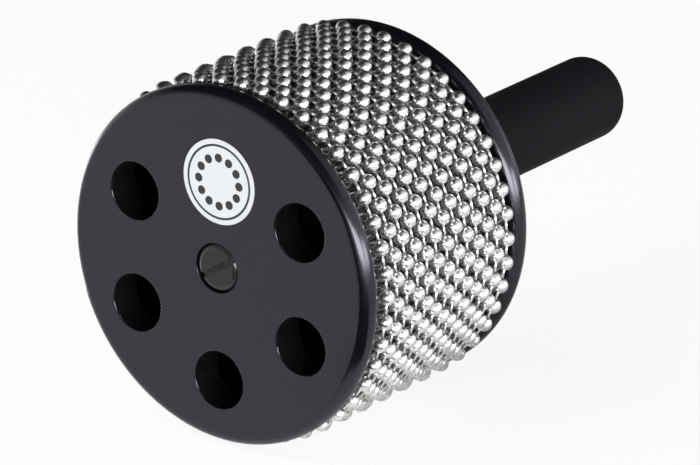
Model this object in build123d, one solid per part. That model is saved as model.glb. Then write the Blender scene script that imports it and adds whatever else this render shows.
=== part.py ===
from build123d import *
from math import atan, cos, hypot, pi, radians, sin
import os

# Cabasa, in millimetres. The drum's axis lies along +Y, the face with the sound holes looks along -Y,
# +Z is up, and the part lies on its bead chains with the table at Z = 0.

# End discs
DISC_DIAMETER = 110.0
FLANGE_THICKNESS = 7.0
FLANGE_EDGE_RADIUS = 3.4
SPIGOT_DEPTH = 3.9
SPIGOT_CLEARANCE = 0.15

# Sound holes: evenly spaced places on a circle, of which the top one is left solid
HOLE_DIAMETER = 17.75
HOLE_CIRCLE_DIAMETER = 70.3
HOLE_PLACES = 6
HOLE_EDGE_RADIUS = 0.4

# Drum shell: thin sheet with ribs along the axis
SHELL_DIAMETER = 103.0
SHEET_THICKNESS = 0.5
RIB_COUNT = 144
RIB_HEIGHT = 0.7

# Bead chains: closed loops of beads joined by short wire links
BEAD_DIAMETER = 4.76
BEADS_PER_LOOP = 45
LINK_DIAMETER = 1.15
LINK_BITE = 0.7
LOOP_COUNT = 13
LOOP_GAP = 0.2
FRONT_GAP = 0.6
REAR_GAP = 2.0
CHAIN_CLEARANCE = 0.3

# Handle: wooden core with a shoulder, inside a sleeve with a closed round end
GRIP_DIAMETER = 26.7
GRIP_LENGTH = 113.9
GRIP_WALL = 3.0
GRIP_END_WALL = 4.0
GRIP_END_RADIUS = 6.2
POST_DIAMETER = 18.0
CORE_CLEARANCE = 0.05
CORE_CHAMFER = 1.5
CLAMP_GAP = 0.3

# Centre screw, sunk in the front disc with its head just proud, and its threaded insert
HEAD_DIAMETER = 15.1
HEAD_HEIGHT = 2.6
HEAD_STAND = 0.2
HEAD_EDGE_RADIUS = 2.2
HEAD_CLEARANCE = 0.12
RECESS_EDGE_RADIUS = 0.2
SLOT_WIDTH = 1.8
SLOT_DEPTH = 1.4
SLOT_ANGLE = 31.5
SCREW_DIAMETER = 6.0
SCREW_REACH = 16.0
SCREW_CLEARANCE = 0.2
SCREW_TIP_ROOM = 3.0
INSERT_DIAMETER = 9.5
INSERT_LENGTH = 14.0
INSERT_COLLAR_DIAMETER = 12.0
INSERT_COLLAR_HEIGHT = 1.2
THREAD_CLEARANCE = 0.05

# Sizes that follow from the ones above. Depths run along the axis from the front disc's outer face.
SHELL_MID_CREST = SHELL_DIAMETER / 2 - SHEET_THICKNESS / 2
SHELL_BORE_RADIUS = SHELL_DIAMETER / 2 - RIB_HEIGHT - SHEET_THICKNESS
SPIGOT_RADIUS = SHELL_BORE_RADIUS - SPIGOT_CLEARANCE
LOOP_PITCH = BEAD_DIAMETER + LOOP_GAP
SHELL_LENGTH = LOOP_COUNT * BEAD_DIAMETER + (LOOP_COUNT - 1) * LOOP_GAP + FRONT_GAP + REAR_GAP
DISC_DEPTH = FLANGE_THICKNESS + SPIGOT_DEPTH
DRUM_LENGTH = SHELL_LENGTH + 2 * FLANGE_THICKNESS
LOOP_RADIUS = SHELL_DIAMETER / 2 + CHAIN_CLEARANCE + BEAD_DIAMETER / 2
HALF_PITCH = 180 / BEADS_PER_LOOP
LOWEST_BEAD_TURN = 90 - HALF_PITCH * round(90 / HALF_PITCH)
AXIS_HEIGHT = LOOP_RADIUS * cos(radians(LOWEST_BEAD_TURN)) + BEAD_DIAMETER / 2
CORE_DIAMETER = GRIP_DIAMETER - 2 * GRIP_WALL
POST_START = DISC_DEPTH + CLAMP_GAP
GRIP_END = DRUM_LENGTH + GRIP_LENGTH
SCREW_END = POST_START + SCREW_REACH
RECESS_DIAMETER = HEAD_DIAMETER + 2 * HEAD_CLEARANCE
RECESS_DEPTH = HEAD_HEIGHT - HEAD_STAND
FRONT_Y = HEAD_STAND - (HEAD_STAND + GRIP_END) / 2

# Pieces are drawn upright, front face at depth 0 and +depth along local Z, then laid down with this placement
LYING = Location(Plane(origin=(0, FRONT_Y, AXIS_HEIGHT), x_dir=(1, 0, 0), z_dir=(0, 1, 0)))
TOP = -90.0
FROM_BASE = (Align.CENTER, Align.CENTER, Align.MIN)


def rod(diameter, start, end):
    """Round bar on the axis between two depths."""
    return Pos(0, 0, start) * Cylinder(diameter / 2, end - start, align=FROM_BASE)


def disc_blank():
    """Flange with a rounded rim, and the spigot that centres the shell."""
    flange = rod(DISC_DIAMETER, 0, FLANGE_THICKNESS)
    rim = min(FLANGE_EDGE_RADIUS, 0.49 * FLANGE_THICKNESS)
    flange = fillet(flange.edges().filter_by(GeomType.CIRCLE), rim)
    return flange + rod(2 * SPIGOT_RADIUS, FLANGE_THICKNESS, DISC_DEPTH)


def mouths(disc, diameter):
    """Round edges of one diameter in the outer face."""
    edges = disc.edges().filter_by(GeomType.CIRCLE).filter_by_position(Axis.Z, -0.01, 0.01)
    return [edge for edge in edges if abs(2 * edge.radius - diameter) < 0.001]


def front_disc():
    """Disc with the sound holes, the screw hole and the recess for the screw's head."""
    disc = disc_blank() - rod(SCREW_DIAMETER + 2 * SCREW_CLEARANCE, 0, DISC_DEPTH)
    disc -= rod(RECESS_DIAMETER, 0, RECESS_DEPTH)
    disc = fillet(mouths(disc, RECESS_DIAMETER), RECESS_EDGE_RADIUS)
    for place in range(1, HOLE_PLACES):
        turn = Rot(0, 0, TOP + place * 360 / HOLE_PLACES)
        disc -= turn * Pos(HOLE_CIRCLE_DIAMETER / 2, 0, 0) * rod(HOLE_DIAMETER, 0, DISC_DEPTH)
    return fillet(mouths(disc, HOLE_DIAMETER), HOLE_EDGE_RADIUS)


def rear_disc():
    """The same blank turned to face the front disc, bored for the post."""
    blank = Pos(0, 0, DRUM_LENGTH) * Rot(180, 0, 0) * disc_blank()
    return blank - rod(POST_DIAMETER + 2 * CORE_CLEARANCE, DRUM_LENGTH - DISC_DEPTH, DRUM_LENGTH)


def polar(radius, angle):
    """Point at a radius and an angle in degrees."""
    return Vector(radius * cos(radians(angle)), radius * sin(radians(angle)))


def rib_outline(offset):
    """Closed wavy line through crests and valleys, moved off the sheet's middle line by an offset."""
    pitch = 360 / RIB_COUNT
    middle = SHELL_MID_CREST - RIB_HEIGHT / 2
    half_chord = middle * sin(radians(pitch / 4))
    slope = 2 * atan(RIB_HEIGHT / 2 / half_chord) * 180 / pi
    arcs = []
    for rib in range(RIB_COUNT):
        crest = rib * pitch
        rise, fall, next_rise = crest - pitch / 4, crest + pitch / 4, crest + 3 * pitch / 4
        start = polar(middle, rise) + polar(offset, rise - slope)
        top = polar(SHELL_MID_CREST + offset, crest)
        turn = polar(middle, fall) + polar(offset, fall + slope)
        low = polar(SHELL_MID_CREST - RIB_HEIGHT + offset, crest + pitch / 2)
        end = polar(middle, next_rise) + polar(offset, next_rise - slope)
        arcs.append(ThreePointArc(start, top, turn))
        arcs.append(ThreePointArc(turn, low, end))
    return Wire(arcs)


def drum_shell():
    """Ribbed sheet rolled to a cylinder, held between the two flanges."""
    section = Face(rib_outline(SHEET_THICKNESS / 2), [rib_outline(-SHEET_THICKNESS / 2)])
    return Pos(0, 0, FLANGE_THICKNESS) * extrude(section, SHELL_LENGTH, dir=(0, 0, 1))


def bead_loop():
    """One closed loop of beads and straight wire links, round the axis at depth 0."""
    step = 2 * HALF_PITCH
    chord = 2 * LOOP_RADIUS * sin(radians(HALF_PITCH))
    link_radius = LOOP_RADIUS * cos(radians(HALF_PITCH))
    along = Rot(-90, 0, 0)
    bead = along * Sphere(BEAD_DIAMETER / 2)
    link = along * Cylinder(LINK_DIAMETER / 2, chord - BEAD_DIAMETER + 2 * LINK_BITE)
    beads = [Rot(0, 0, n * step) * Pos(LOOP_RADIUS, 0, 0) * bead for n in range(BEADS_PER_LOOP)]
    links = [Rot(0, 0, (n + 0.5) * step) * Pos(link_radius, 0, 0) * link for n in range(BEADS_PER_LOOP)]
    return beads[0] + (beads[1:] + links)


def place_loop(loop, number):
    """A loop at its place along the drum. Every second one is half a bead pitch further round."""
    depth = FLANGE_THICKNESS + FRONT_GAP + BEAD_DIAMETER / 2 + number * LOOP_PITCH
    return Pos(0, 0, depth) * Rot(0, 0, (number % 2) * HALF_PITCH) * loop


def handle_core():
    """Turned rod: the post through the drum, and the thicker length inside the grip."""
    post = rod(POST_DIAMETER, POST_START, DRUM_LENGTH)
    core_end = GRIP_END - GRIP_END_WALL
    thick = rod(CORE_DIAMETER - 2 * CORE_CLEARANCE, DRUM_LENGTH, core_end)
    thick = chamfer(thick.edges().filter_by(GeomType.CIRCLE).sort_by(Axis.Z)[-1], CORE_CHAMFER)
    seat = rod(INSERT_DIAMETER + 2 * CORE_CLEARANCE, POST_START, POST_START + INSERT_LENGTH)
    collar = rod(
        INSERT_COLLAR_DIAMETER + 2 * CORE_CLEARANCE, POST_START, POST_START + INSERT_COLLAR_HEIGHT
    )
    tip = rod(SCREW_DIAMETER + 2 * SCREW_CLEARANCE, POST_START, SCREW_END + SCREW_TIP_ROOM)
    return post + thick - seat - collar - tip


def grip_sleeve():
    """Sleeve over the core, closed and rounded at the free end."""
    sleeve = rod(GRIP_DIAMETER, DRUM_LENGTH, GRIP_END)
    end = sleeve.edges().filter_by(GeomType.CIRCLE).sort_by(Axis.Z)[-1]
    sleeve = fillet(end, min(GRIP_END_RADIUS, 0.49 * GRIP_DIAMETER))
    return sleeve - rod(CORE_DIAMETER, DRUM_LENGTH, GRIP_END - GRIP_END_WALL)


def front_screw():
    """Wide round-shouldered head with a slot across it, and the shank through the disc into the insert."""
    head = rod(HEAD_DIAMETER, -HEAD_STAND, RECESS_DEPTH)
    head = fillet(
        head.edges().filter_by(GeomType.CIRCLE).sort_by(Axis.Z)[0], min(HEAD_EDGE_RADIUS, 0.9 * HEAD_HEIGHT)
    )
    slot = Box(2 * HEAD_DIAMETER, SLOT_WIDTH, SLOT_DEPTH, align=FROM_BASE)
    slot = Rot(0, 0, -SLOT_ANGLE) * Pos(0, 0, -HEAD_STAND) * slot
    shank = rod(SCREW_DIAMETER, RECESS_DEPTH, SCREW_END)
    shank = chamfer(shank.edges().filter_by(GeomType.CIRCLE).sort_by(Axis.Z)[-1], SCREW_DIAMETER / 8)
    return head + shank - slot


def threaded_insert():
    """Collared brass sleeve in the front end of the post."""
    sleeve = rod(INSERT_DIAMETER, POST_START, POST_START + INSERT_LENGTH)
    collar = rod(INSERT_COLLAR_DIAMETER, POST_START, POST_START + INSERT_COLLAR_HEIGHT)
    bore = rod(SCREW_DIAMETER + 2 * THREAD_CLEARANCE, POST_START, POST_START + INSERT_LENGTH)
    return sleeve + collar - bore


def pieces():
    """Every piece by its name, upright."""
    parts = {
        "front_disc": front_disc(),
        "rear_disc": rear_disc(),
        "drum_shell": drum_shell(),
        "handle_core": handle_core(),
        "grip_sleeve": grip_sleeve(),
        "front_screw": front_screw(),
        "threaded_insert": threaded_insert(),
    }
    loop = bead_loop()
    for number in range(LOOP_COUNT):
        parts[f"bead_loop_{number + 1:02d}"] = place_loop(loop, number)
    return parts


os.makedirs("parts", exist_ok=True)
for name, piece in pieces().items():
    export_step(LYING * piece, f"parts/{name}.step")
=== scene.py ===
"""Cabasa: looks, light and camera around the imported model. Metres, in the model's own frame."""

import random
from math import cos, pi, radians, sin

import bpy
from mathutils import Matrix, Vector


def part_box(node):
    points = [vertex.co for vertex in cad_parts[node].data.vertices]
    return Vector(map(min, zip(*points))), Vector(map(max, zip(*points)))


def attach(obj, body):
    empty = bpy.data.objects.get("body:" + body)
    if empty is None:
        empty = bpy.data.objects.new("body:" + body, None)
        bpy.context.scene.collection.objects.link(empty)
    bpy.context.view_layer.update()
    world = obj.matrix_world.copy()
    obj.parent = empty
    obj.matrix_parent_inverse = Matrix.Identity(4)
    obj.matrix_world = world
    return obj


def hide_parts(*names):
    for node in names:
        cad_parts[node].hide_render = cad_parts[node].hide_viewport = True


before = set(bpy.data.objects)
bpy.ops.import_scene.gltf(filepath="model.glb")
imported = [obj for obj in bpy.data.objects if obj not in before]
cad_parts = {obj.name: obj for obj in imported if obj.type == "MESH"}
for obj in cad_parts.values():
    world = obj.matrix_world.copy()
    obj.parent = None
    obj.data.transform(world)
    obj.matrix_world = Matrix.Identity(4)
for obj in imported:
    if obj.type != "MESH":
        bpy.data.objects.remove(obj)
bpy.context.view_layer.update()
MM = 0.001

# Photograph and camera. Angles are azimuth from -Y towards +X, elevation, and roll about the view direction.
IMAGE_WIDTH = 700
IMAGE_HEIGHT = 465
AZIMUTH = radians(37.594)
ELEVATION = radians(20.281)
ROLL = radians(-0.57)
DISTANCE = 1684.7 * MM
FOCAL_PIXELS = 5672
SENSOR_WIDTH = 36.0
AIM_DEPTH = 40 * MM
AIM_PIXEL = (300.26, 229.73)

# Beads and links
BEAD_RADIUS = 2.38 * MM
BEADS_PER_LOOP = 45
LOOP_RADIUS = 54.18 * MM
LINK_RADIUS = 0.46 * MM
HOLE_RADIUS = 0.80 * MM
LIP_WIDTH = 0.22 * MM
LIP_HEIGHT = 0.10 * MM
HOLE_DEPTH = 1.1 * MM
BEAD_SEGMENTS = 28
BEAD_ARC_STEPS = 13
LINK_SEGMENTS = 10
BEAD_ANGLE_PLAY = radians(0.35)
BEAD_SIDE_PLAY = 0.06 * MM
BEAD_LIFT_PLAY = 0.12 * MM

# Round label on the front disc
LABEL_RADIUS = 13.05 * MM
LABEL_ASIDE = 1.25 * MM
LABEL_HEIGHT = 27.0 * MM
LABEL_THICKNESS = 0.15 * MM
LABEL_EDGE = 0.06 * MM
LABEL_SEGMENTS = 96
RING_RADIUS = 11.2 * MM
RING_HALF_WIDTH = 0.35 * MM
DOT_COUNT = 12
DOT_CIRCLE_RADIUS = 7.4 * MM
DOT_RADIUS = 1.35 * MM

# Sound holes: walls inside this radius are raw and lie across the face
BORE_REACH = 46 * MM
BORE_NORMAL = 0.35

# Screw: depth behind the front face at which its slot begins, and the radii between which its rounded edge is
# painted paler as a highlight
SLOT_SHADE = 0.3 * MM
EDGE_START = 5.4 * MM
EDGE_END = 6.6 * MM

# Soft boxes: azimuth and elevation in degrees, distance, width and height
KEY_BOX = (53, 7, 2.0, 1.6, 0.56)
SIDE_BOX = (98, 7, 1.5, 0.9, 0.36)
FILL_BOX = (-30, 45, 1.3, 1.0, 1.0)
KEY_POWER = 18
SIDE_POWER = 2.7
FILL_POWER = 11.2
KEY_SHINE = 14
SIDE_SHINE = 11

# Floor: its tone as a bounce and as seen, and the share that is plain white to the camera
FLOOR_SIZE = 6
FLOOR_TONE = 0.95
FLOOR_SEEN_TONE = 1.34
FLOOR_WHITE_SHARE = 0.90

# World: even light on surfaces, and the room that reflections see. The room has a level at the horizon and
# overhead, and a glow at the right. Rises are sines of elevations.
EVEN_LEVEL = 0.15
HORIZON_LEVEL = 1.0
CEILING_LEVEL = 0.02
HORIZON_RISE = 0.52
GLOW_LEVEL = 2.6
GLOW_START = 0.12
GLOW_RISE = 0.85
GLOW_AZIMUTH = 108
GLOW_FALL = 1.5

LOOSE_BEAD_SEED = 7

front_low, front_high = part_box("front_disc")
AXIS_HEIGHT = (front_low.z + front_high.z) / 2
FRONT_Y = front_low.y
LOOPS = sorted(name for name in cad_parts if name.startswith("bead_loop"))


def link_object(name, mesh):
    """Object for a mesh, in the scene."""
    obj = bpy.data.objects.new(name, mesh)
    bpy.context.scene.collection.objects.link(obj)
    return obj


def mesh_object(name, vertices, faces, material, smooth=True):
    """Object from vertices and faces, with one material."""
    mesh = bpy.data.meshes.new(name)
    mesh.from_pydata(vertices, [], faces)
    mesh.validate()
    mesh.polygons.foreach_set("use_smooth", [smooth] * len(mesh.polygons))
    mesh.materials.append(material)
    return link_object(name, mesh)


class Tree:
    """Short way to write a node tree."""

    def __init__(self, tree):
        self.tree = tree

    def node(self, kind, **settings):
        made = self.tree.nodes.new(kind)
        for key, value in settings.items():
            setattr(made, key, value)
        return made

    def join(self, source, target):
        self.tree.links.new(source, target)

    def put(self, socket, value):
        if isinstance(value, (int, float, tuple)):
            socket.default_value = value
        else:
            self.join(value, socket)

    def math(self, operation, first, second=0.0, clamp=False):
        made = self.node("ShaderNodeMath", operation=operation, use_clamp=clamp)
        self.put(made.inputs[0], first)
        self.put(made.inputs[1], second)
        return made.outputs[0]

    def remap(self, value, low, high, new_low, new_high):
        made = self.node("ShaderNodeMapRange")
        self.put(made.inputs["Value"], value)
        made.inputs["From Min"].default_value = low
        made.inputs["From Max"].default_value = high
        made.inputs["To Min"].default_value = new_low
        made.inputs["To Max"].default_value = new_high
        return made.outputs["Result"]

    def length(self, first, second):
        squares = [self.math("MULTIPLY", value, value) for value in (first, second)]
        return self.math("SQRT", self.math("ADD", *squares))

    def parts_of(self, vector):
        made = self.node("ShaderNodeSeparateXYZ")
        self.join(vector, made.inputs[0])
        return made.outputs


class BareTree(Tree):
    """An empty material's node tree."""

    def __init__(self, name):
        self.material = bpy.data.materials.new(name)
        self.material.use_nodes = True
        super().__init__(self.material.node_tree)
        self.tree.nodes.clear()

    def show(self, shader):
        self.join(shader.outputs[0], self.node("ShaderNodeOutputMaterial").inputs["Surface"])
        return self.material


class Nodes(Tree):
    """A material's node tree around one Principled shader."""

    def __init__(self, name):
        self.material = bpy.data.materials.new(name)
        self.material.use_nodes = True
        super().__init__(self.material.node_tree)
        self.shader = self.tree.nodes["Principled BSDF"]
        self.place = self.tree.nodes.new("ShaderNodeTexCoord").outputs["Object"]

    def set(self, **values):
        for key, value in values.items():
            self.shader.inputs[key.replace("_", " ")].default_value = value

    def noise(self, scale, detail=4.0, roughness=0.5, vector=None):
        made = self.node("ShaderNodeTexNoise")
        made.inputs["Scale"].default_value = scale
        made.inputs["Detail"].default_value = detail
        made.inputs["Roughness"].default_value = roughness
        self.join(vector or self.place, made.inputs["Vector"])
        return made.outputs["Fac"]

    def speckle(self, scale, vector=None):
        made = self.node("ShaderNodeTexVoronoi")
        made.inputs["Scale"].default_value = scale
        self.join(vector or self.place, made.inputs["Vector"])
        return made.outputs["Distance"]

    def mix(self, share, first, second):
        made = self.node("ShaderNodeMix", data_type="RGBA")
        self.put(made.inputs["Factor"], share)
        self.put(made.inputs[6], first)
        self.put(made.inputs[7], second)
        return made.outputs[2]

    def bump(self, height, strength, distance):
        made = self.node("ShaderNodeBump")
        made.inputs["Strength"].default_value = strength
        made.inputs["Distance"].default_value = distance
        self.join(height, made.inputs["Height"])
        self.join(made.outputs["Normal"], self.shader.inputs["Normal"])


def lacquer():
    """Satin black lacquer, with the raw sawn wall of the sound holes rough and flecked."""
    n = Nodes("black_lacquer")
    x, _, z = n.parts_of(n.place)
    height = n.math("SUBTRACT", z, AXIS_HEIGHT)
    radius = n.length(x, height)
    normal = n.parts_of(n.node("ShaderNodeNewGeometry").outputs["Normal"])
    across = n.math("LESS_THAN", n.math("ABSOLUTE", normal[1]), BORE_NORMAL)
    bore = n.math("MULTIPLY", across, n.math("LESS_THAN", radius, BORE_REACH))
    flecks = n.speckle(1500)
    cloud = n.noise(60, 5)
    grain = n.noise(2600, 3)
    wall = n.mix(n.remap(flecks, 0.05, 0.3, 1.0, 0.0), (0.020, 0.020, 0.021, 1), (0.090, 0.088, 0.088, 1))
    face = n.mix(cloud, (0.0028, 0.0028, 0.0042, 1), (0.0045, 0.0045, 0.0064, 1))
    n.join(n.mix(bore, face, wall), n.shader.inputs["Base Color"])
    satin = n.remap(cloud, 0.3, 0.7, 0.17, 0.21)
    rough = n.math("ADD", satin, n.math("MULTIPLY", bore, 0.45), clamp=True)
    n.join(rough, n.shader.inputs["Roughness"])
    n.join(bore, n.shader.inputs["Metallic"])
    n.set(Specular_Tint=(0.86, 0.84, 1.0, 1), Specular_IOR_Level=0.62)
    pits = n.math("MULTIPLY", n.math("MULTIPLY", flecks, bore), 4.0)
    n.bump(n.math("ADD", n.math("MULTIPLY", grain, 0.12), pits), 0.35, 0.05 * MM)
    return n.material


def nickel():
    """Polished nickel plate with faint haze and hairline wear."""
    n = Nodes("chain_nickel")
    haze = n.noise(900, 3)
    cloud = n.noise(120, 2)
    n.join(n.mix(cloud, (0.81, 0.805, 0.795, 1), (0.88, 0.875, 0.865, 1)), n.shader.inputs["Base Color"])
    n.join(n.remap(haze, 0.3, 0.75, 0.25, 0.32), n.shader.inputs["Roughness"])
    n.set(Metallic=1.0)
    n.bump(haze, 0.05, 0.02 * MM)
    return n.material


def sheet_steel():
    """Rolled steel sheet of the shell, drawn along the ribs, coloured dark as painted shade between the
    beads.
    """
    n = Nodes("shell_steel")
    stretch = n.node("ShaderNodeMapping")
    stretch.inputs["Scale"].default_value = (1.0, 0.06, 1.0)
    n.join(n.place, stretch.inputs["Vector"])
    streak = n.noise(2200, 3, vector=stretch.outputs[0])
    cloud = n.noise(70, 4)
    # Painted shade: the steel is coloured far darker than bare steel, standing in for the shade between the
    # beads
    n.join(n.mix(cloud, (0.13, 0.128, 0.126, 1), (0.19, 0.188, 0.185, 1)), n.shader.inputs["Base Color"])
    n.join(n.remap(streak, 0.3, 0.7, 0.10, 0.20), n.shader.inputs["Roughness"])
    n.set(Metallic=1.0)
    n.bump(streak, 0.12, 0.02 * MM)
    return n.material


def rubber():
    """Matt black grip with a fine moulded grain."""
    n = Nodes("grip_rubber")
    grain = n.noise(1900, 4, 0.6)
    cloud = n.noise(45, 4)
    black = n.mix(cloud, (0.0088, 0.0084, 0.0112, 1), (0.0135, 0.0131, 0.0168, 1))
    n.join(black, n.shader.inputs["Base Color"])
    n.join(n.remap(cloud, 0.3, 0.7, 0.62, 0.74), n.shader.inputs["Roughness"])
    n.set(Specular_IOR_Level=0.07)
    n.bump(grain, 0.3, 0.05 * MM)
    return n.material


def dark_metal():
    """Black screw, painted paler round its rounded edge as a highlight, with dust on the floor of its slot.
    """
    n = Nodes("screw_black")
    x, y, z = n.parts_of(n.place)
    height = n.math("SUBTRACT", z, AXIS_HEIGHT)
    radius = n.length(x, height)
    facing = n.math("ABSOLUTE", n.parts_of(n.node("ShaderNodeNewGeometry").outputs["Normal"])[1])
    sunk = n.math("GREATER_THAN", y, FRONT_Y + SLOT_SHADE)
    floor = n.math("MULTIPLY", sunk, n.math("GREATER_THAN", facing, 0.9))
    cloud = n.noise(400, 4)
    body = n.mix(cloud, (0.0050, 0.0034, 0.0042, 1), (0.0072, 0.0050, 0.0060, 1))
    # Painted highlight: the rounded edge is coloured paler, standing in for its reflection
    edge_highlight = n.mix(n.remap(radius, EDGE_START, EDGE_END, 0.0, 1.0), body, (0.026, 0.024, 0.026, 1))
    dust = n.remap(n.noise(4200, 2), 0.60, 0.72, 0.0, 1.0)
    dusty = n.mix(dust, (0.034, 0.032, 0.034, 1), (0.22, 0.215, 0.21, 1))
    n.join(n.mix(floor, edge_highlight, dusty), n.shader.inputs["Base Color"])
    n.join(floor, n.shader.inputs["Metallic"])
    n.join(n.remap(cloud, 0.3, 0.7, 0.19, 0.25), n.shader.inputs["Roughness"])
    n.set(Specular_Tint=(1.0, 0.92, 0.98, 1), Specular_IOR_Level=0.56)
    n.bump(cloud, 0.05, 0.03 * MM)
    return n.material


def stained_wood():
    """Black stained hardwood of the core, its grain along the axis."""
    n = Nodes("core_wood")
    stretch = n.node("ShaderNodeMapping")
    stretch.inputs["Scale"].default_value = (1.0, 0.05, 1.0)
    n.join(n.place, stretch.inputs["Vector"])
    grain = n.noise(700, 6, vector=stretch.outputs[0])
    n.join(n.mix(grain, (0.010, 0.009, 0.008, 1), (0.032, 0.028, 0.024, 1)), n.shader.inputs["Base Color"])
    n.join(n.remap(grain, 0.3, 0.7, 0.5, 0.7), n.shader.inputs["Roughness"])
    n.bump(grain, 0.2, 0.1 * MM)
    return n.material


def brass():
    """Plain turned brass of the insert."""
    n = Nodes("insert_brass")
    cloud = n.noise(500, 4)
    n.join(n.mix(cloud, (0.62, 0.42, 0.15, 1), (0.72, 0.52, 0.22, 1)), n.shader.inputs["Base Color"])
    n.join(n.remap(cloud, 0.3, 0.7, 0.25, 0.4), n.shader.inputs["Roughness"])
    n.set(Metallic=1.0)
    return n.material


def label_print():
    """White vinyl label with a plain ring of dots inside a thin ring."""
    n = Nodes("label_print")
    x, _, z = n.parts_of(n.place)
    x = n.math("SUBTRACT", x, LABEL_ASIDE)
    height = n.math("SUBTRACT", z, AXIS_HEIGHT + LABEL_HEIGHT)
    radius = n.length(x, height)
    ring = n.math("LESS_THAN", n.math("ABSOLUTE", n.math("SUBTRACT", radius, RING_RADIUS)), RING_HALF_WIDTH)
    turn = n.math("ARCTAN2", height, x)
    sector = n.math("PINGPONG", n.math("ADD", turn, 2 * pi), pi / DOT_COUNT)
    along = n.math("MULTIPLY", radius, n.math("COSINE", sector))
    across = n.math("MULTIPLY", radius, n.math("SINE", sector))
    off = n.math("SUBTRACT", along, DOT_CIRCLE_RADIUS)
    dot = n.math("LESS_THAN", n.length(off, across), DOT_RADIUS)
    ink = n.math("MAXIMUM", ring, dot)
    paper = n.mix(n.noise(300, 3), (0.84, 0.865, 0.885, 1), (0.86, 0.885, 0.905, 1))
    n.join(n.mix(ink, paper, (0.028, 0.028, 0.031, 1)), n.shader.inputs["Base Color"])
    n.join(n.remap(n.noise(700, 2), 0.3, 0.7, 0.34, 0.42), n.shader.inputs["Roughness"])
    return n.material


def lathe(profile, segments, matrix):
    """Vertices and faces of a body turned about local Z, from (height, radius) points ending on the axis."""
    vertices = [matrix @ Vector((0, 0, profile[0][0]))]
    for height, radius in profile[1:-1]:
        for s in range(segments):
            angle = 2 * pi * s / segments
            vertices.append(matrix @ Vector((radius * cos(angle), radius * sin(angle), height)))
    vertices.append(matrix @ Vector((0, 0, profile[-1][0])))
    rings = len(profile) - 2
    last = len(vertices) - 1
    faces = []
    for s in range(segments):
        t = (s + 1) % segments
        faces.append((0, 1 + t, 1 + s))
        for ring in range(rings - 1):
            low, high = 1 + ring * segments, 1 + (ring + 1) * segments
            faces.append((low + s, low + t, high + t, high + s))
        top = 1 + (rings - 1) * segments
        faces.append((top + s, top + t, last))
    return vertices, faces


def bead_profile():
    """Ball with a sunk wire hole and a small raised lip at each end."""
    mouth = (BEAD_RADIUS**2 - (HOLE_RADIUS + LIP_WIDTH) ** 2) ** 0.5
    half = [
        (mouth - HOLE_DEPTH, 0.0),
        (mouth - HOLE_DEPTH, HOLE_RADIUS),
        (mouth + 0.6 * LIP_HEIGHT, HOLE_RADIUS),
        (mouth + LIP_HEIGHT, HOLE_RADIUS + 0.4 * LIP_WIDTH),
        (mouth + 0.5 * LIP_HEIGHT, HOLE_RADIUS + 0.8 * LIP_WIDTH),
    ]
    start = Vector((mouth, HOLE_RADIUS + LIP_WIDTH)).angle(Vector((1, 0)))
    arc = []
    for step in range(BEAD_ARC_STEPS + 1):
        angle = start + (pi - 2 * start) * step / BEAD_ARC_STEPS
        arc.append((BEAD_RADIUS * cos(angle), BEAD_RADIUS * sin(angle)))
    other = [(-height, radius) for height, radius in reversed(half)]
    return list(reversed([*half, *arc, *other]))


def pointing(position, direction):
    """Placement with local Z along a direction."""
    turn = direction.to_track_quat("Z", "Y").to_matrix().to_4x4()
    return Matrix.Translation(position) @ turn


def bead_centres(node, number, spread):
    """Bead centres round one loop, with the small play that loose beads have."""
    low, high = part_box(node)
    step = 2 * pi / BEADS_PER_LOOP
    centres = []
    for n in range(BEADS_PER_LOOP):
        angle = (n + 0.5 * (number % 2)) * step + spread.uniform(-BEAD_ANGLE_PLAY, BEAD_ANGLE_PLAY)
        radius = LOOP_RADIUS + spread.uniform(0, BEAD_LIFT_PLAY)
        side = (low.y + high.y) / 2 + spread.uniform(-BEAD_SIDE_PLAY, BEAD_SIDE_PLAY)
        centres.append(Vector((radius * cos(angle), side, AXIS_HEIGHT + radius * sin(angle))))
    return centres


def chain_loop(node, number, material, spread):
    """One loop: turned beads and the wire links between them."""
    vertices, faces = [], []

    def add(part):
        base = len(vertices)
        vertices.extend(part[0])
        faces.extend(tuple(base + i for i in face) for face in part[1])

    centres = bead_centres(node, number, spread)
    profile = bead_profile()
    for n, centre in enumerate(centres):
        before, after = centres[n - 1], centres[(n + 1) % BEADS_PER_LOOP]
        add(lathe(profile, BEAD_SEGMENTS, pointing(centre, after - before)))
        half = (after - centre).length / 2 - BEAD_RADIUS + 0.9 * HOLE_DEPTH
        wire = [(-half, 0), (-half, LINK_RADIUS), (half, LINK_RADIUS), (half, 0)]
        add(lathe(wire, LINK_SEGMENTS, pointing((centre + after) / 2, after - centre)))
    return mesh_object(f"bead_chain_{number + 1:02d}", vertices, faces, material)


def label(material):
    """Thin round label on the front disc's solid place."""
    centre = Vector((LABEL_ASIDE, FRONT_Y, AXIS_HEIGHT + LABEL_HEIGHT))
    profile = [
        (0, 0),
        (0, LABEL_RADIUS),
        (LABEL_THICKNESS - LABEL_EDGE, LABEL_RADIUS),
        (LABEL_THICKNESS, LABEL_RADIUS - LABEL_EDGE),
        (LABEL_THICKNESS, 0),
    ]
    vertices, faces = lathe(profile, LABEL_SEGMENTS, pointing(centre, Vector((0, -1, 0))))
    return mesh_object("round_label", vertices, faces, material, smooth=False)


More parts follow.
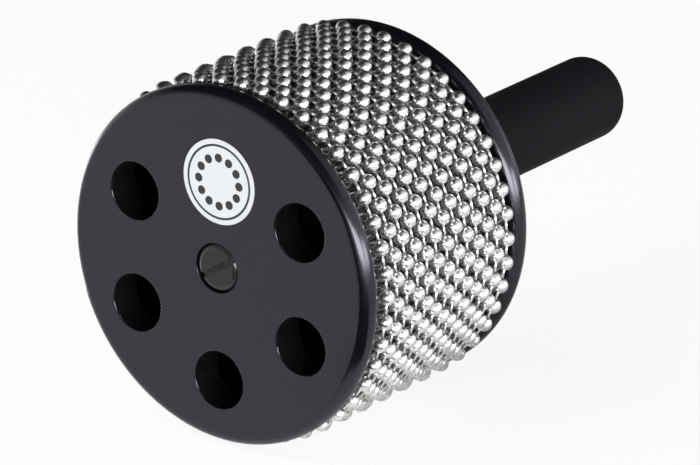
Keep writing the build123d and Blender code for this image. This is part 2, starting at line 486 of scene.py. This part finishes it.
def stage_material(name, tone, seen_tone, white_share):
    """Floor near white to the camera, with the object's shadow, and paler when seen than as a bounce."""
    n = BareTree(name)
    path = n.node("ShaderNodeLightPath").outputs
    diffuse = n.node("ShaderNodeBsdfDiffuse")
    seen = n.math("MAXIMUM", path["Is Camera Ray"], path["Is Glossy Ray"])
    n.join(n.remap(seen, 0.0, 1.0, tone, seen_tone), diffuse.inputs["Color"])
    glow = n.node("ShaderNodeEmission")
    n.join(path["Is Camera Ray"], glow.inputs["Strength"])
    blend = n.node("ShaderNodeMixShader")
    n.join(n.math("MULTIPLY", path["Is Camera Ray"], white_share), blend.inputs[0])
    n.join(diffuse.outputs[0], blend.inputs[1])
    n.join(glow.outputs[0], blend.inputs[2])
    return n.show(blend)


def rectangle(matrix, width, height):
    """Corners of a rectangle centred on a placement, facing its local +Z."""
    corners = [(-0.5, -0.5), (0.5, -0.5), (0.5, 0.5), (-0.5, 0.5)]
    return [matrix @ Vector((x * width, y * height, 0)) for x, y in corners]


def stage_piece(name, corners, material):
    """Flat piece of the studio, which isn't part of the object."""
    vertices = [Vector(corner) for corner in corners]
    obj = mesh_object(name, vertices, [range(len(corners))], material, smooth=False)
    return obj


def card(name, corners, material):
    """Flat card that only reflections see."""
    obj = stage_piece(name, corners, material)
    obj.visible_camera = False
    obj.visible_diffuse = False
    obj.visible_shadow = False


def glowing(name, strength):
    """Evenly bright card."""
    n = BareTree(name)
    glow = n.node("ShaderNodeEmission")
    glow.inputs["Strength"].default_value = strength
    return n.show(glow)


def fading(name, low, high, strength, rest):
    """Card that is bright at one height and fades towards another."""
    n = BareTree(name)
    glow = n.node("ShaderNodeEmission")
    z = n.parts_of(n.node("ShaderNodeTexCoord").outputs["Object"])[2]
    n.join(n.remap(z, low, high, strength, rest), glow.inputs["Strength"])
    return n.show(glow)


def upright_corners(left, right, y, low, top):
    """Corners of an upright rectangle across the Y axis."""
    return [(left, y, low), (right, y, low), (right, y, top), (left, y, top)]


def floor_point(distance, turn):
    """Point just over the floor, at a distance and azimuth from the drum."""
    return Vector((distance * sin(turn), FRONT_Y + AIM_DEPTH - distance * cos(turn), 1 * MM))


def black_card_material():
    """Matt black cloth of the studio cards."""
    n = Nodes("card_black")
    weave = n.noise(120, 3)
    n.join(n.mix(weave, (0.010, 0.010, 0.010, 1), (0.018, 0.018, 0.018, 1)), n.shader.inputs["Base Color"])
    n.set(Roughness=0.9)
    return n.material


def black_booth(material):
    """Dark back wall, and a dark lane in front of the object on the way to the camera."""
    behind, wall_left, wall_right, wall_low, wall_top = 1.6, -1.8, 0.2, 0.03, 1.3
    card("card_back", upright_corners(wall_left, wall_right, behind, wall_low, wall_top), material)
    ahead, lane_left, lane_right, lane_top = -1.6, -0.4, 0.42, 0.65
    card("card_front", upright_corners(lane_left, lane_right, ahead, 0.0, lane_top), material)
    near, far, low_turn, high_turn = 0.1, 0.42, radians(-5), radians(65)
    middle = (low_turn + high_turn) / 2
    inner = [floor_point(near, turn) for turn in (low_turn, middle, high_turn)]
    outer = [floor_point(far, turn) for turn in (high_turn, middle, low_turn)]
    card("card_floor", inner + outer, material)
    start, end, low, high = 0.4, 1.7, radians(-14), radians(12)
    lane = [(start, low), (start, high), (end, high), (end, low)]
    card("card_lane", [floor_point(*point) for point in lane], material)


def white_cards():
    """Pale card on the floor at the front left, a brighter strip at the left, a slanted card at the right."""
    front = [(-1.4, -1.3), (-0.1, -1.3), (-0.035, -0.125), (0.0, -0.07)]
    back = [(0.015, -0.04), (0.02, -0.005), (-0.06, 0.0), (-0.06, 0.3), (-1.4, 0.3)]
    pale = front + back
    card("card_pale", [(x, FRONT_Y + y, 1.5 * MM) for x, y in pale], glowing("card_white", 0.86))
    strip = [(-1.6, FRONT_Y - 0.06), (-0.12, FRONT_Y - 0.02), (-0.12, FRONT_Y + 0.12), (-1.6, FRONT_Y + 0.5)]
    card("card_strip", [(x, y, 2 * MM) for x, y in strip], glowing("card_bright", 4.0))
    foot, low, top, high, near, far = 0.26, 0.12, 0.10, 0.40, FRONT_Y - 0.02, FRONT_Y + 0.30
    side = [(foot, near, low), (foot, far, low), (top, far, high), (top, near, high)]
    card("card_side", side, fading("card_soft", 0.12, 0.42, 1.15, 0.08))


def box_placement(azimuth, elevation, distance):
    """Placement of a soft box that faces the drum."""
    centre = Vector((0, FRONT_Y + AIM_DEPTH, AXIS_HEIGHT))
    turn, rise = radians(azimuth), radians(elevation)
    away = Vector((sin(turn) * cos(rise), -cos(turn) * cos(rise), sin(rise)))
    return pointing(centre + away * distance, away)


def area_light(name, box, power):
    """Soft box that lights surfaces and isn't seen in reflections."""
    azimuth, elevation, distance, width, height = box
    data = bpy.data.lights.new(name, "AREA")
    data.shape = "RECTANGLE"
    data.size = width
    data.size_y = height
    data.energy = power
    obj = bpy.data.objects.new(name, data)
    obj.matrix_world = box_placement(azimuth, elevation, distance)
    obj.visible_glossy = False
    bpy.context.scene.collection.objects.link(obj)


def shine_card(name, box, strength):
    """Bright front of a soft box, for reflections only."""
    azimuth, elevation, distance, width, height = box
    corners = rectangle(box_placement(azimuth, elevation, distance), width, height)
    card(name, corners, glowing(name, strength))


def world_light(strength):
    """White to the camera and plain even light on surfaces. Reflections see a dark room, pale at the horizon,
    with a soft glow on the right that fades upwards."""
    world = bpy.data.worlds.new("studio")
    bpy.context.scene.world = world
    world.use_nodes = True
    n = Tree(world.node_tree)
    back = world.node_tree.nodes["Background"]
    back.inputs["Color"].default_value = (1, 1, 1, 1)
    path = n.node("ShaderNodeLightPath").outputs
    x, y, z = n.parts_of(n.node("ShaderNodeTexCoord").outputs["Generated"])
    horizon = n.remap(z, 0.0, HORIZON_RISE, HORIZON_LEVEL, CEILING_LEVEL)
    turn = radians(GLOW_AZIMUTH)
    side = n.math("ADD", n.math("MULTIPLY", x, sin(turn)), n.math("MULTIPLY", y, -cos(turn)))
    lobe = n.math("POWER", n.math("MAXIMUM", side, 0.0), GLOW_FALL)
    glow = n.math("MULTIPLY", lobe, n.remap(z, GLOW_START, GLOW_RISE, GLOW_LEVEL, CEILING_LEVEL))
    room = n.math("MAXIMUM", horizon, glow)
    seen = n.math("MAXIMUM", path["Is Camera Ray"], path["Is Transmission Ray"])
    mirrored = n.math("MULTIPLY", path["Is Glossy Ray"], room)
    other = n.math("SUBTRACT", 1.0, n.math("MAXIMUM", seen, path["Is Glossy Ray"]))
    plain = n.math("MULTIPLY", other, strength)
    n.join(n.math("ADD", n.math("MAXIMUM", mirrored, seen), plain), back.inputs["Strength"])


def photo_camera():
    """Long lens at the photograph's angle, turned so that the aim point falls on its pixel."""
    data = bpy.data.cameras.new("photo_camera")
    data.sensor_fit = "HORIZONTAL"
    data.sensor_width = SENSOR_WIDTH
    data.lens = FOCAL_PIXELS / IMAGE_WIDTH * SENSOR_WIDTH
    data.clip_start = 0.05
    data.clip_end = 50
    aim = Vector((0, FRONT_Y + AIM_DEPTH, AXIS_HEIGHT))
    away = Vector((sin(AZIMUTH) * cos(ELEVATION), -cos(AZIMUTH) * cos(ELEVATION), sin(ELEVATION)))
    level = Vector((cos(AZIMUTH), sin(AZIMUTH), 0))
    upright = level.cross(-away)
    right = cos(ROLL) * level + sin(ROLL) * upright
    up = -sin(ROLL) * level + cos(ROLL) * upright
    aside = (IMAGE_WIDTH / 2 - AIM_PIXEL[0]) / FOCAL_PIXELS * DISTANCE
    raised = (AIM_PIXEL[1] - IMAGE_HEIGHT / 2) / FOCAL_PIXELS * DISTANCE
    place = aim + away * DISTANCE
    forward = (aim + aside * right + raised * up - place).normalized()
    right = (right - right.dot(forward) * forward).normalized()
    up = right.cross(forward)
    obj = bpy.data.objects.new("photo_camera", data)
    turn = Matrix((right, up, -forward)).transposed().to_4x4()
    obj.matrix_world = Matrix.Translation(place) @ turn
    bpy.context.scene.collection.objects.link(obj)
    bpy.context.scene.camera = obj


def dress_node(node, material):
    """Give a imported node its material."""
    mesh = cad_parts[node].data
    mesh.materials.clear()
    mesh.materials.append(material)


black = lacquer()
dress_node("front_disc", black)
dress_node("rear_disc", black)
dress_node("drum_shell", sheet_steel())
dress_node("grip_sleeve", rubber())
dress_node("handle_core", stained_wood())
dress_node("front_screw", dark_metal())
dress_node("threaded_insert", brass())

bright = nickel()
spread = random.Random(LOOSE_BEAD_SEED)
for number, node in enumerate(LOOPS):
    chain = chain_loop(node, number, bright, spread)
    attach(chain, f"chain_{number + 1:02d}")
    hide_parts(node)

round_label = label(label_print())
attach(round_label, "drum")

floor_white = stage_material("floor_white", FLOOR_TONE, FLOOR_SEEN_TONE, FLOOR_WHITE_SHARE)
stage_piece("floor", rectangle(Matrix.Identity(4), FLOOR_SIZE, FLOOR_SIZE), floor_white)
black_booth(black_card_material())
white_cards()
area_light("key_front", KEY_BOX, KEY_POWER)
area_light("side_right", SIDE_BOX, SIDE_POWER)
area_light("fill_left", FILL_BOX, FILL_POWER)
shine_card("shine_front", KEY_BOX, KEY_SHINE)
shine_card("shine_right", SIDE_BOX, SIDE_SHINE)
world_light(EVEN_LEVEL)
photo_camera()
bpy.context.scene.view_settings.view_transform = "Standard"
